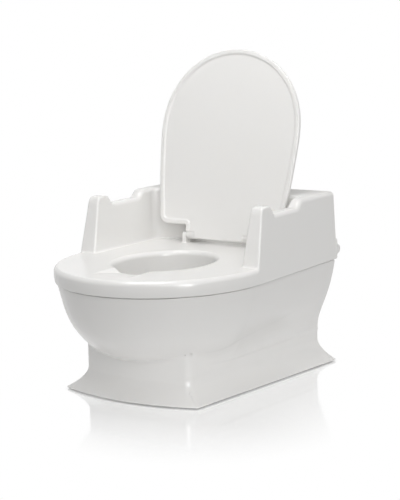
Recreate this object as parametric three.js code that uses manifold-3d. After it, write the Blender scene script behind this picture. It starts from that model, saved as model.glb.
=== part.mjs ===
// Child's potty training chair in the form of a small toilet: a base shell holding a pot,
// a hinged seat shell with arms and cistern, and a lid standing open against the cistern.
// Millimetres, +Z up, front of the seat towards -Y, X = 0 the symmetry plane, left is -X.
// The origin is the middle of the footprint box on the floor.
import * as THREE from 'three';
import { mergeVertices } from 'three/addons/utils/BufferGeometryUtils.js';
import Module from 'manifold-3d';

const wasm = await Module();
wasm.setup();

// ------------------------------------------------------------ shared dimensions
const MIDDLE_Y = 37.5;       // y of the footprint's middle, in the frame the parts are drawn in
const WALL = 3;              // moulded wall
const SEAM = 143;            // bottom edge of the seat shell
const SEAT_TOP = 163.5;      // sitting surface
const LID_AXIS = { y: 136.5, z: 173.5 };
const REAR_AXIS = { y: 222, z: 156 };      // the seat shell swings on this one

// pin and bore radii of the two hinges
const LID_PIN_RADIUS = 1.9;
const LID_BORE_RADIUS = 2.25;
const REAR_PIN_RADIUS = 2.4;
const REAR_BORE_RADIUS = 2.8;
const REAR_BARREL_RADIUS = 6;

// distances from the symmetry plane along the hinges, [near, far]
const EAR_SPAN = [53, 59];
const LID_KNUCKLE_SPAN = [38, 52.4];
const LID_PIN_SPAN = [40, 59.5];
const LUG_SPAN = [117, 128];
const LUG_GAP = 0.5;
const SLOT_SPAN = [LUG_SPAN[0] - LUG_GAP, LUG_SPAN[1] + LUG_GAP];
const REAR_KNUCKLE_SPAN = [SLOT_SPAN[1], 139.3];
const REAR_BORE_SPAN = [127, 138.1];
const REAR_PIN_SPAN = [117.5, 137.6];

const FEET = [
  { name: 'foot_front_left', x: -79, y: -66 },
  { name: 'foot_front_right', x: 79, y: -66 },
  { name: 'foot_rear_left', x: -115, y: 190 },
  { name: 'foot_rear_right', x: 115, y: 190 },
];

// ------------------------------------------------------------ solids
function solidOf(geometry) {
  const bare = geometry.clone();
  for (const key of Object.keys(bare.attributes)) {
    if (key !== 'position') bare.deleteAttribute(key);
  }
  const merged = mergeVertices(bare, 1e-4);
  return new wasm.Manifold(new wasm.Mesh({
    numProp: 3,
    vertProperties: new Float32Array(merged.attributes.position.array),
    triVerts: new Uint32Array(merged.index.array),
  }));
}

function geometryOf(solid) {
  const mesh = solid.getMesh();
  const geometry = new THREE.BufferGeometry();
  const positions = new Float32Array(mesh.vertProperties);
  geometry.setAttribute('position', new THREE.BufferAttribute(positions, 3));
  geometry.setIndex(new THREE.BufferAttribute(new Uint32Array(mesh.triVerts), 1));
  return geometry;
}

// closed skin through rings of equal length, lowest ring first, each ring
// running counter-clockwise seen from above
function loft(rings) {
  const count = rings[0].length;
  const indices = [];
  for (let k = 0; k < rings.length - 1; k++) {
    for (let i = 0; i < count; i++) {
      const low = k * count + i;
      const lowNext = k * count + (i + 1) % count;
      const high = low + count;
      const highNext = lowNext + count;
      indices.push(low, lowNext, highNext, low, highNext, high);
    }
  }
  const cap = (k, facesUp) => {
    const outline = rings[k].map(([x, y]) => new THREE.Vector2(x, y));
    const start = k * count;
    for (const [a, b, c] of THREE.ShapeUtils.triangulateShape(outline, [])) {
      if (facesUp) indices.push(start + a, start + b, start + c);
      else indices.push(start + a, start + c, start + b);
    }
  };
  cap(0, false);
  cap(rings.length - 1, true);
  const geometry = new THREE.BufferGeometry();
  const positions = new Float32Array(rings.flat(2));
  geometry.setAttribute('position', new THREE.BufferAttribute(positions, 3));
  geometry.setIndex(indices);
  return solidOf(geometry);
}

function box([x0, x1], [y0, y1], [z0, z1]) {
  const geometry = new THREE.BoxGeometry(x1 - x0, y1 - y0, z1 - z0);
  geometry.translate((x0 + x1) / 2, (y0 + y1) / 2, (z0 + z1) / 2);
  return solidOf(geometry);
}

function rodX([x0, x1], axis, radius, segments = 20) {
  const geometry = new THREE.CylinderGeometry(radius, radius, x1 - x0, segments);
  geometry.rotateZ(Math.PI / 2);
  geometry.translate((x0 + x1) / 2, axis.y, axis.z);
  return solidOf(geometry);
}

function rodZ({ x, y }, [z0, z1], radius, segments) {
  const geometry = new THREE.CylinderGeometry(radius, radius, z1 - z0, segments);
  geometry.rotateX(Math.PI / 2);
  geometry.translate(x, y, (z0 + z1) / 2);
  return solidOf(geometry);
}

// bore that runs 1 mm past both ends of a span
const throughBore = ([x0, x1], axis, radius) => rodX([x0 - 1, x1 + 1], axis, radius, 16);

const shapeOf = (points) => new THREE.Shape(points.map(([x, y]) => new THREE.Vector2(x, y)));

function extrude(shape, depth) {
  return new THREE.ExtrudeGeometry(shape, { depth, bevelEnabled: false, steps: 1 });
}

// prism with a (y, z) outline
function prismX(outline, [x0, x1]) {
  const geometry = extrude(shapeOf(outline), x1 - x0);
  geometry.applyMatrix4(new THREE.Matrix4().set(
    0, 0, 1, x0,
    1, 0, 0, 0,
    0, 1, 0, 0,
    0, 0, 0, 1,
  ));
  return solidOf(geometry);
}

// side is -1 for the negative half of an axis, +1 for the positive
const spanOn = (side, [near, far]) => (side > 0 ? [near, far] : [-far, -near]);
const bothSides = (build) => build(-1).add(build(1));

// ------------------------------------------------------------ outlines
function interpolate(table, x) {
  if (x <= table[0][0]) return table[0][1];
  for (let i = 1; i < table.length; i++) {
    const [x0, value0] = table[i - 1];
    const [x1, value1] = table[i];
    if (x <= x1) return value0 + (x - x0) / (x1 - x0) * (value1 - value0);
  }
  return table[table.length - 1][1];
}

const atHeight = (points, z) => points.map(([x, y]) => [x, y, z]);

// counter-clockwise quarter circle; startQuarter counts quarter turns from +X
function quarterArc(centreX, centreY, radius, startQuarter, steps) {
  const points = [];
  for (let i = 0; i <= steps; i++) {
    const angle = (Math.PI / 2) * (startQuarter + i / steps);
    points.push([centreX + radius * Math.cos(angle), centreY + radius * Math.sin(angle)]);
  }
  return points;
}

// rounded right and left rear corners
function rearCorners(halfWidth, rearY, radius, steps) {
  return [
    ...quarterArc(halfWidth - radius, rearY - radius, radius, 0, steps),
    ...quarterArc(-halfWidth + radius, rearY - radius, radius, 1, steps),
  ];
}

// D-shaped plan: half ellipse in front, near-parallel sides, square rear
function planD({ halfWidth, front, rearHalfWidth, rearY, radius }, z) {
  const segments = 24;
  const points = [];
  for (let i = 0; i <= segments; i++) {
    const angle = Math.PI * (i / segments);
    points.push([-halfWidth * Math.cos(angle), -front * Math.sin(angle)]);
  }
  return atHeight([...points, ...rearCorners(rearHalfWidth, rearY, radius, 3)], z);
}

// oval whose front and rear halves may differ in length
function planOval({ centreY, halfWidth, front, rear }, z) {
  const segments = 36;
  const points = [];
  for (let i = 0; i < segments; i++) {
    const angle = -Math.PI / 2 + 2 * Math.PI * (i / segments);
    const sine = Math.sin(angle);
    points.push([halfWidth * Math.cos(angle), centreY + (sine > 0 ? rear : front) * sine, z]);
  }
  return points;
}

// ------------------------------------------------------------ pot
const POT_CENTRE_Y = -6;
const POT_MOUTH = { halfWidth: 72, halfLength: 102 };

// [z, half width, half length]
const POT_OUTSIDE = [
  [52, 40, 64], [55, 48, 74], [62, 54.5, 82], [78, 61, 89.5], [100, 67.5, 97],
  [124, 72.5, 102.5], [137.4, 75, 105.2],
  [137.41, 86, 116], [138.6, 87, 117], [140.6, 86, 116], // flange
];
const POT_INSIDE = [
  [54.6, 38, 62], [57.6, 45.5, 71.5], [64, 51.7, 79.2], [79, 58.2, 86.8], [100, 64.7, 94.2],
  [124, 69.8, 99.8], [136, POT_MOUTH.halfWidth, POT_MOUTH.halfLength], [141.5, 74, 104],
];

const potRing = ([z, halfWidth, halfLength]) => planOval(
  { centreY: POT_CENTRE_Y, halfWidth, front: halfLength, rear: halfLength }, z);

function buildPot() {
  return loft(POT_OUTSIDE.map(potRing)).subtract(loft(POT_INSIDE.map(potRing)));
}

// ------------------------------------------------------------ base shell
const BASE_TOP = 142.3;
const BASE_HALF_WIDTH = 134.5;
const BASE_FRONT = 147.5;
const BASE_REAR_HALF_WIDTH = 137.2;
const DECK_TOP = 137;
const DECK_BOTTOM = DECK_TOP - 3;
const DECK_POT_GAP = 4.8;    // deck opening beyond the pot mouth
const BASE_BOTTOM = 1.5;     // bottom edge of the base shell above the floor
const FLARE_TOP = 30;        // the pedestal widens below this height

// [z, inward step of the bowl from its top edge], at the front and at the rear
const BOWL_STEP = [
  [41, 94], [44, 77.5], [48, 64], [52, 54.6], [56, 47.1], [61.4, 40], [72.5, 28.8],
  [83.4, 20.2], [94.5, 13.9], [105, 9.4], [115.5, 6.1], [126, 3.4], [142.3, 0],
];
const BOWL_REAR_STEP = [
  [41, 93], [44, 74], [48, 60], [52, 50], [56, 42], [61.4, 34.5], [72.5, 23.5],
  [83.4, 15.6], [94.5, 10.3], [105, 6.8], [115.5, 4.3], [126, 2.1], [142.3, 0],
];

// heights of the loft rings
const BOWL_OUTSIDE_Z = [41, 44, 48, 52, 56, 61.4, 72.5, 83.4, 94.5, 105, 126, BASE_TOP];
const BOWL_INSIDE_Z = [45.5, 50, 56, 61.4, 72.5, 83.4, 94.5, 105, 126, DECK_BOTTOM];
const COLUMN_OUTSIDE_Z = [BASE_BOTTOM, 3.5, 6, 9, 12.5, 16.5, 21, 26, 32, 112];
const COLUMN_INSIDE_Z = [-1, 3.5, 8, 13, 19, 26, 32, 108];

const rearWallY = (z) => 211 + 5.5 * THREE.MathUtils.clamp((z - 50) / 90, 0, 1);

// profileZ is the height at which the profile is read, z where the ring is placed
function bowlRing(profileZ, z, inset) {
  const step = interpolate(BOWL_STEP, profileZ);
  return planD({
    halfWidth: BASE_HALF_WIDTH - 0.92 * step - inset,
    front: BASE_FRONT - (step + inset),
    rearHalfWidth: BASE_REAR_HALF_WIDTH - interpolate(BOWL_REAR_STEP, profileZ) - inset,
    rearY: rearWallY(profileZ) - 0.3 - inset,
    radius: Math.max(2, 3.5 - inset),
  }, z);
}

// pedestal plan: bowed front, rounded front corners, sides widening to the rear
function columnRing(profileZ, z, inset) {
  const flare = THREE.MathUtils.clamp((FLARE_TOP - profileZ) / 27.2, 0, 1) ** 2;
  const frontX = 78.5 + 21.8 * flare - inset;
  const frontY = -70 - 16 * flare + inset * 0.8;
  const bowY = -87.5 - 18 * flare + inset;     // foremost point, at x = 0
  const rearX = 113.5 + 28.6 * flare - inset;
  const rearY = rearWallY(profileZ) - inset;
  const bowAt = (x) => bowY + (frontY - bowY) * (x / frontX) ** 2;

  // right front corner, a quadratic curve from the bow to the side
  const cut = 0.62 * (6 * (1 - flare) + 2 * flare);
  const sideLength = Math.hypot(rearX - frontX, rearY - frontY);
  const start = [frontX - cut, bowAt(frontX - cut)];
  const end = [
    frontX + (rearX - frontX) / sideLength * cut,
    frontY + (rearY - frontY) / sideLength * cut,
  ];
  const corner = [];
  for (let i = 0; i <= 3; i++) {
    const t = i / 3;
    const blend = (from, middle, to) => (
      (1 - t) ** 2 * from + 2 * t * (1 - t) * middle + t * t * to);
    corner.push([blend(start[0], frontX, end[0]), blend(start[1], frontY, end[1])]);
  }

  const bow = [];
  const bowSteps = 8;
  for (let i = 1; i < bowSteps; i++) {
    const x = -start[0] + 2 * start[0] * (i / bowSteps);
    bow.push([x, bowAt(x)]);
  }
  const chamfer = 2.5;
  const chamferX = rearX - chamfer * 0.15;
  return atHeight([
    ...corner.map(([x, y]) => [-x, y]).reverse(),
    ...bow,
    ...corner,
    [chamferX, rearY - chamfer], [rearX - chamfer, rearY],
    [-rearX + chamfer, rearY], [-chamferX, rearY - chamfer],
  ], z);
}

// pads that take the rubber feet, kept inside the flared edge
function buildFootPads() {
  const pads = FEET.map(({ x, y }) => box(
    spanOn(Math.sign(x), [Math.abs(x) - 9, Math.abs(x) + 34]),
    spanOn(Math.sign(y), [Math.abs(y) - 9, Math.abs(y) + 26]),
    [BASE_BOTTOM, 5],
  ));
  return pads.reduce((all, pad) => all.add(pad))
    .intersect(loft(COLUMN_OUTSIDE_Z.map((z) => columnRing(z, z, 0.8))));
}

// hinge lug behind the rear wall, (y, z) outline
const LUG_NECK = [
  [213.9, 124], [216, 124], [223.5, 141], [224.5, 156], [216.4, 156], [216.4, 143], [213.9, 141],
];

function buildLug(side) {
  const span = spanOn(side, LUG_SPAN);
  return rodX(span, REAR_AXIS, REAR_BARREL_RADIUS)
    .add(prismX(LUG_NECK, span))
    .subtract(throughBore(span, REAR_AXIS, REAR_BORE_RADIUS));
}

function buildBase() {
  const bowlCavity = loft(BOWL_INSIDE_Z.map((z) => bowlRing(z - WALL, z, WALL)));
  const columnCavity = loft(COLUMN_INSIDE_Z.map(
    (z) => columnRing(Math.max(z + 2.5, BASE_BOTTOM), z, WALL)));
  const deckRecess = loft([DECK_TOP, BASE_TOP + 1].map((z) => bowlRing(BASE_TOP, z, WALL)));
  let base = loft(BOWL_OUTSIDE_Z.map((z) => bowlRing(z, z, 0)))
    .add(loft(COLUMN_OUTSIDE_Z.map((z) => columnRing(z, z, 0))))
    .subtract(bowlCavity)
    .subtract(columnCavity)
    .subtract(deckRecess)
    .add(buildFootPads());
  for (const foot of FEET) {
    base = base.subtract(rodZ(foot, [0, 9], 3.1, 12)).subtract(rodZ(foot, [5, 8.5], 5.2, 12));
  }
  const potOpening = loft([DECK_BOTTOM - 2, DECK_TOP + 1].map((z) => potRing(
    [z, POT_MOUTH.halfWidth + DECK_POT_GAP, POT_MOUTH.halfLength + DECK_POT_GAP])));
  return base.subtract(potOpening).add(bothSides(buildLug));
}

// ------------------------------------------------------------ seat shell
const RIM_HALF_WIDTH = 139.5;
const RIM_FRONT = 153;       // rim reaches this far in front of the arms
const REAR_Y = 218.8;        // rear face of the cistern
const SIDE_DRAFT = 0.061;    // inward taper of the side walls
const ARM_FRONT_DRAFT = 0.229;
const CISTERN_TOP = 236.3;
const COLLAR_BOTTOM = 130;   // lower edge of the collar round the opening
const ARM_INSIDE = 113.5;    // from the symmetry plane to an arm, at the seat
const BACKREST_Y = 151;      // back rest face of the cistern
const EAR_RADIUS = 5.2;

// [z, inward step] of the rim's outer edge
const RIM_PROFILE = [
  [SEAM, 1.6], [SEAM + 2, 0.2], [SEAM + 4, 0], [157, 0],
  [160.3, 1.3], [162.4, 3.4], [SEAT_TOP, 7],
];
// top line of the arms and the cistern, [y, z]
const TOP_LINE = [
  [12, 229], [15.5, 233.2], [18, 235.8], [22, 237.2], [28, 237.7], [34, 237.5], [38.5, 236.5],
  [42, 234.2], [45.5, 229.8], [48.5, 227], [53, 225.9], [108, 225.9], [113, 227.5], [118, 232],
  [121.5, 234.9], [126, CISTERN_TOP],
];
// [z, growth] of the egg-shaped opening
const COLLAR_OUTSIDE = [[COLLAR_BOTTOM, WALL - 1.2], [155, WALL], [SEAT_TOP - 2, 6.5]];
const OPENING = [
  [COLLAR_BOTTOM - 2, -1.4], [156.5, 0], [159.6, 0.9], [162, 2.6],
  [SEAT_TOP, 6.4], [SEAT_TOP + 0.2, 7.2],
];
// dip in front of the opening, [z, half width, front y]
const DIP_REAR_Y = -60;
const DIP = [[158, 21.5, -80], [161.2, 24.5, -99], [SEAT_TOP + 0.6, 28, -117]];
// web joining a rear hinge knuckle to the cistern, (y, z) outline
const KNUCKLE_WEB = [[216.5, 149], [222, 150], [225, 160], [216.5, 170]];

const sideHalfWidth = (z) => RIM_HALF_WIDTH - SIDE_DRAFT * (z - SEAM);

function rimRing(z, step, inset = 0) {
  return planD({
    halfWidth: RIM_HALF_WIDTH - step - inset,
    front: RIM_FRONT - step - inset,
    rearHalfWidth: sideHalfWidth(z) - step - inset,
    rearY: REAR_Y - step - inset,
    radius: Math.max(1.5, 4 - inset),
  }, z);
}

const eggRing = ([z, growth]) => planOval({
  centreY: -4.5, halfWidth: 61 + growth, front: 72.5 + growth, rear: 82.5 + growth,
}, z);

function blockRing(z, inset) {
  const halfWidth = sideHalfWidth(z) - inset;
  const frontY = Math.max(0, (z - SEAT_TOP) * ARM_FRONT_DRAFT) + inset;
  const frontRadius = Math.max(1, 3.5 - inset);
  return atHeight([
    ...quarterArc(-halfWidth + frontRadius, frontY + frontRadius, frontRadius, 2, 2),
    ...quarterArc(halfWidth - frontRadius, frontY + frontRadius, frontRadius, 3, 2),
    ...rearCorners(halfWidth, REAR_Y - inset, Math.max(1.5, 4 - inset), 3),
  ], z);
}

// space between the arms, in front of the back rest
function seatSpace(inset) {
  const ring = (z) => {
    const halfWidth = ARM_INSIDE + 0.05 * (z - SEAT_TOP) + inset;
    const rearY = BACKREST_Y + 0.02 * (z - SEAT_TOP) + inset;
    return atHeight([
      [-halfWidth, -60], [halfWidth, -60], ...rearCorners(halfWidth, rearY, 13 + inset, 4),
    ], z);
  };
  return loft([ring(SEAT_TOP - inset), ring(260)]);
}

// everything above the top line lowered by `drop`
function aboveTopLine(drop) {
  const [startY, startZ] = TOP_LINE[0];
  const outline = [
    [-20, 300], [-20, startZ - drop], [startY - 1, startZ - drop],
    ...TOP_LINE.map(([y, z]) => [y, z - drop]),
    [260, CISTERN_TOP - drop], [260, 300],
  ];
  return prismX(outline.reverse(), [-200, 200]);
}

// arms and cistern in one block, shrunk by `inset` for the cavity
function armsAndCistern(heights, inset) {
  return loft(heights.map((z) => blockRing(z, inset)))
    .subtract(seatSpace(inset))
    .subtract(aboveTopLine(inset));
}

function buildDip(growth, drop) {
  return loft(DIP.map(([z, width, frontY]) => {
    const halfWidth = width + growth;
    return atHeight([
      [-halfWidth, frontY - growth], [halfWidth, frontY - growth],
      [halfWidth, DIP_REAR_Y], [-halfWidth, DIP_REAR_Y],
    ], z - drop);
  }));
}

// upright ear that carries the lid
function buildEar(side) {
  const span = spanOn(side, EAR_SPAN);
  const spanY = [LID_AXIS.y - EAR_RADIUS, LID_AXIS.y + EAR_RADIUS];
  return rodX(span, LID_AXIS, EAR_RADIUS)
    .add(box(span, spanY, [SEAT_TOP - 1.5, LID_AXIS.z]))
    .subtract(throughBore(span, LID_AXIS, LID_BORE_RADIUS));
}

// slot that lets a base lug through
const buildSlot = (side) => box(spanOn(side, SLOT_SPAN), [212, 235], [SEAM - 2, 162.6]);

function buildRearKnuckle(side) {
  const span = spanOn(side, REAR_KNUCKLE_SPAN);
  // the right web stops short of its barrel's outer end, the left one does not
  const webSpan = [span[0], span[1] - (side > 0 ? 0.8 : 0)];
  return rodX(span, REAR_AXIS, REAR_BARREL_RADIUS)
    .add(prismX(KNUCKLE_WEB, webSpan))
    .subtract(rodX(spanOn(side, REAR_BORE_SPAN), REAR_AXIS, REAR_BORE_RADIUS, 16));
}

function buildSeat() {
  const cavity = loft([rimRing(SEAM - 1, 0, WALL), rimRing(SEAT_TOP - WALL, 1.5, WALL)])
    .add(armsAndCistern([SEAM - 1, SEAT_TOP, 240], WALL));
  return loft(RIM_PROFILE.map(([z, step]) => rimRing(z, step)))
    .add(armsAndCistern([150, SEAT_TOP, 242], 0))
    .subtract(cavity)
    .add(buildDip(1.5, WALL))
    .add(loft(COLLAR_OUTSIDE.map(eggRing)))
    .subtract(buildDip(0, 0))
    .subtract(loft(OPENING.map(eggRing)))
    .add(bothSides(buildEar))
    .subtract(bothSides(buildSlot))
    .add(bothSides(buildRearKnuckle));
}

// ------------------------------------------------------------ lid
// Drawn in its own (x, t) plane, t running from the hinge end to the tip.
// Depth is measured backwards from the front edge of the lid's rim.
const LID_LEAN = THREE.MathUtils.degToRad(13);
const LID_ORIGIN = { y: 127.4, z: 171.9 };
const LID_DEPTH = 6.4;
const LID_RECESS = 1.8;      // depth of the front recess
const TONGUE = { halfWidth: 52.3, start: -0.5, end: 18.2 };
const SHOULDER = { x: 83.5, radius: 14 };
const NOTCH_X = 38.4;        // inner edge of the tongue's corner notches

// right edge beyond the shoulder, [t, x]
const LID_EDGE = [
  [45, 99], [63, 101.4], [73.5, 103.5], [89, 105], [105, 106.3], [126, 108.2], [147, 109.5],
  [168, 109], [189, 104.6], [210, 95.7], [225.8, 84.4], [241.5, 69.3], [252, 53], [259.4, 36],
  [263.5, 20], [265.6, 0],
];

const lidMatrix = new THREE.Matrix4()
  .makeTranslation(0, LID_ORIGIN.y, LID_ORIGIN.z)
  .multiply(new THREE.Matrix4().makeRotationX(Math.PI / 2 - LID_LEAN));

// moves every edge of a counter-clockwise outline inwards
function insetOutline(outline, inset) {
  const count = outline.length;
  const inwardNormal = (from, to) => {
    const run = [to[0] - from[0], to[1] - from[1]];
    const length = Math.hypot(...run);
    return [-run[1] / length, run[0] / length];
  };
  return outline.map((point, i) => {
    const before = inwardNormal(outline[(i + count - 1) % count], point);
    const after = inwardNormal(point, outline[(i + 1) % count]);
    const scale = 1 + before[0] * after[0] + before[1] * after[1];
    return [0, 1].map((k) => point[k] + inset * (before[k] + after[k]) / scale);
  });
}

function lidShape(inset) {
  const { x, radius } = SHOULDER;
  const right = [
    [TONGUE.halfWidth, TONGUE.start],
    [TONGUE.halfWidth, TONGUE.end],
    ...quarterArc(x, TONGUE.end + radius, radius, -1, 4).slice(1),
    ...LID_EDGE.map(([t, edgeX]) => [edgeX, t]),
  ];
  const left = right.slice(0, -1).reverse().map(([edgeX, t]) => [-edgeX, t]);
  return shapeOf(insetOutline([...right, ...left], inset));
}

function plate(shape, frontDepth, rearDepth) {
  const geometry = extrude(shape, rearDepth - frontDepth);
  geometry.translate(0, 0, -rearDepth);
  geometry.applyMatrix4(lidMatrix);
  return solidOf(geometry);
}

const rectangle = ([x0, x1], [t0, t1]) => shapeOf([[x0, t0], [x1, t0], [x1, t1], [x0, t1]]);

function buildLidKnuckle(side) {
  const span = spanOn(side, LID_KNUCKLE_SPAN);
  return rodX(span, LID_AXIS, 4.5)
    .add(plate(rectangle(span, [3.9, 13]), 2.2, LID_DEPTH + 5.5))
    .subtract(throughBore(span, LID_AXIS, LID_BORE_RADIUS));
}

function buildLid() {
  let lid = plate(lidShape(0), 0.9, LID_DEPTH)
    .add(plate(lidShape(0.9), 0, 2))
    .subtract(plate(lidShape(6.2), -1, LID_RECESS));
  // the corners of the tongue are cut back for the knuckles
  for (const side of [1, -1]) {
    lid = lid.subtract(plate(rectangle(spanOn(side, [NOTCH_X, 60]), [-5, 8.8]), -2, 12));
  }
  // the recess runs out through the end of the tongue
  return lid
    .subtract(plate(rectangle([-NOTCH_X, NOTCH_X], [-5, 12]), -1, LID_RECESS))
    .add(bothSides(buildLidKnuckle));
}

// ------------------------------------------------------------ rubber feet
// disc on the floor, stem through the pad and a wider head above it
function buildFoot(place) {
  return rodZ(place, [0, 1.2], 8, 20)
    .add(rodZ(place, [1, 6], 2.7, 12))
    .add(rodZ(place, [5.4, 7.4], 4, 12));
}

// ------------------------------------------------------------ materials
const SHELL_WHITE = { color: 0xf3f2f0, roughness: 0.28 };
const POT_WHITE = { color: 0xededeb, roughness: 0.28 };
const PIN_WHITE = { color: 0xe4e3e0, roughness: 0.4 };
const RUBBER_GREY = { color: 0x8f9193, roughness: 0.85 };

// ------------------------------------------------------------ assembly
function put(name, solid, finish, parent) {
  const material = new THREE.MeshStandardMaterial({ ...finish, metalness: 0 });
  const mesh = new THREE.Mesh(geometryOf(solid), material);
  mesh.name = name;
  parent.add(mesh);
}

const group = new THREE.Group();
group.position.y = -MIDDLE_Y;
const seatGroup = new THREE.Group();   // what swings up with the seat
group.add(seatGroup);

put('base_shell', buildBase(), SHELL_WHITE, group);
put('pot', buildPot(), POT_WHITE, group);
put('seat_shell', buildSeat(), SHELL_WHITE, seatGroup);
put('lid', buildLid(), SHELL_WHITE, seatGroup);
for (const [sideName, side] of [['left', -1], ['right', 1]]) {
  const lidPin = rodX(spanOn(side, LID_PIN_SPAN), LID_AXIS, LID_PIN_RADIUS, 16);
  const rearPin = rodX(spanOn(side, REAR_PIN_SPAN), REAR_AXIS, REAR_PIN_RADIUS, 16);
  put(`lid_pin_${sideName}`, lidPin, PIN_WHITE, seatGroup);
  put(`hinge_pin_${sideName}`, rearPin, PIN_WHITE, group);
}
for (const foot of FEET) put(foot.name, buildFoot(foot), RUBBER_GREY, group);

export default group;
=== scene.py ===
# Potty training chair: seat moulding with arms, base, pot, leaning lid, hinge pins and feet.
#
# Shapes are written in mm with x to the right, y to the rear (0 at the fronts of the arms)
# and z up from the floor. The scene is in metres, with y moved forward by Y_MID.
# Most pieces are distance fields (negative inside) meshed on a grid.
import itertools
import math
import bpy
import numpy as np
from mathutils import Matrix, Vector


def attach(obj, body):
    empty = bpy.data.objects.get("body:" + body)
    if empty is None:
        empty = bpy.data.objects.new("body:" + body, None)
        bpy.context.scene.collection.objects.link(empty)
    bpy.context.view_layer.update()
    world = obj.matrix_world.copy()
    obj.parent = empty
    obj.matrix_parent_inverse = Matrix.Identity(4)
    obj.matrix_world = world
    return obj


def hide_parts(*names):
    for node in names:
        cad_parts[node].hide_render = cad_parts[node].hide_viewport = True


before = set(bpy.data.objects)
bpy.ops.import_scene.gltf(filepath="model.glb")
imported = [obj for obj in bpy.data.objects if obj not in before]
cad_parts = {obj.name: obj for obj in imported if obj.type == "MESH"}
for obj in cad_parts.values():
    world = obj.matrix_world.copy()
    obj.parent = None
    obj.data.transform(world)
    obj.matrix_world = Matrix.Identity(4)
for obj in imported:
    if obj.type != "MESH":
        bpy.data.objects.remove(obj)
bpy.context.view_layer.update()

MM = 0.001
Y_MID = 37.5


# ---------------------------------------------------------------- distance fields
def join(first, second, radius):
    """union of two fields with a circular fillet"""
    near_first = np.maximum(radius - first, 0.0)
    near_second = np.maximum(radius - second, 0.0)
    corner = np.sqrt(near_first * near_first + near_second * near_second)
    return np.maximum(radius, np.minimum(first, second)) - corner


def meet(first, second, radius):
    """intersection of two fields with a circular rounding"""
    near_first = np.maximum(radius + first, 0.0)
    near_second = np.maximum(radius + second, 0.0)
    corner = np.sqrt(near_first * near_first + near_second * near_second)
    return np.minimum(-radius, np.maximum(first, second)) + corner


def cut(solid, tool, radius):
    """solid less tool, with a rounded edge"""
    return meet(solid, -tool, radius)


def unit(value):
    return np.clip(value, 0, 1)


def point_dist(u, v, centre):
    return np.hypot(u - centre[0], v - centre[1])


def segment_dist(u, v, start, end):
    run_u, run_v = end[0] - start[0], end[1] - start[1]
    along = ((u - start[0]) * run_u + (v - start[1]) * run_v) / (run_u * run_u + run_v * run_v)
    along = np.clip(along, 0, 1)
    return np.hypot(u - start[0] - along * run_u, v - start[1] - along * run_v)


def ellipse_dist(x, y, half_x, half_y):
    level = np.sqrt((x / half_x) ** 2 + (y / half_y) ** 2)
    slope = np.sqrt((x / (half_x * half_x)) ** 2 + (y / (half_y * half_y)) ** 2)
    return level * (level - 1.0) / np.maximum(slope, 1e-9)


def plan_dist(x, y, half_width, front_depth, rear_half_width, rear_y):
    """D-shaped plan without its rear face: half ellipse in front, near-parallel sides"""
    front = ellipse_dist(x, np.minimum(y, 0.0), half_width, front_depth)
    width = half_width + (rear_half_width - half_width) * np.clip(y / rear_y, 0, 1)
    return np.where(y < 0, front, np.abs(x) - width)


class Curve:
    """smoothed monotone curve through (position, value) points, with its slope"""

    STEP = 0.25

    def __init__(self, points, smooth):
        table = np.array(points, float)
        self.x = np.arange(table[0, 0], table[-1, 0] + self.STEP, self.STEP)
        values = self.monotone(table[:, 0], table[:, 1], self.x)
        reach = int(4 * smooth / self.STEP)
        kernel = np.exp(-0.5 * (np.arange(-reach, reach + 1) * self.STEP / smooth) ** 2)
        kernel /= kernel.sum()
        self.y = np.convolve(np.pad(values, reach, mode="edge"), kernel, mode="valid")
        self.slopes = np.gradient(self.y, self.x)

    @staticmethod
    def monotone(x, y, query):
        """piecewise cubic that doesn't overshoot its points"""
        gap = np.diff(x)
        rise = np.diff(y) / gap
        slope = np.zeros(len(x))
        for i in range(1, len(x) - 1):
            if rise[i - 1] * rise[i] > 0:
                w1, w2 = 2 * gap[i] + gap[i - 1], gap[i] + 2 * gap[i - 1]
                slope[i] = (w1 + w2) / (w1 / rise[i - 1] + w2 / rise[i])
        slope[0], slope[-1] = rise[0], rise[-1]
        k = np.clip(np.searchsorted(x, query) - 1, 0, len(x) - 2)
        t = np.clip((query - x[k]) / gap[k], 0, 1)
        return (
            (2 * t**3 - 3 * t**2 + 1) * y[k]
            + (t**3 - 2 * t**2 + t) * gap[k] * slope[k]
            + (-2 * t**3 + 3 * t**2) * y[k + 1]
            + (t**3 - t**2) * gap[k] * slope[k + 1]
        )

    def __call__(self, query):
        return np.interp(query, self.x, self.y)

    def slope(self, query):
        return np.interp(query, self.x, self.slopes)


# ---------------------------------------------------------------- meshing
CHUNK = 24            # grid planes sampled at a time, to limit memory
RELAX_PASSES = 4
RELAX_SHARE = 0.55    # part of the way each vertex slides in a pass
FINE_PROBE = 0.05     # half spacing of gradient samples when settling
WIDE_PROBE = 0.12     # the same for normals


def grid_lines(low, high, step, fine=()):
    """grid line positions with finer stretches: fine = [(from, to, step), ...]"""
    lines = [low]
    while lines[-1] < high:
        gap = step
        for start, end, fine_step in fine:
            if start - step <= lines[-1] < end:
                gap = min(gap, fine_step)
        lines.append(lines[-1] + gap)
    return np.array(lines)


def sample(field, grid):
    values = np.empty([len(lines) for lines in grid], np.float32)
    for i in range(0, len(grid[0]), CHUNK):
        values[i:i + CHUNK] = field(*np.meshgrid(grid[0][i:i + CHUNK], *grid[1:], indexing="ij"))
    return values


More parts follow.
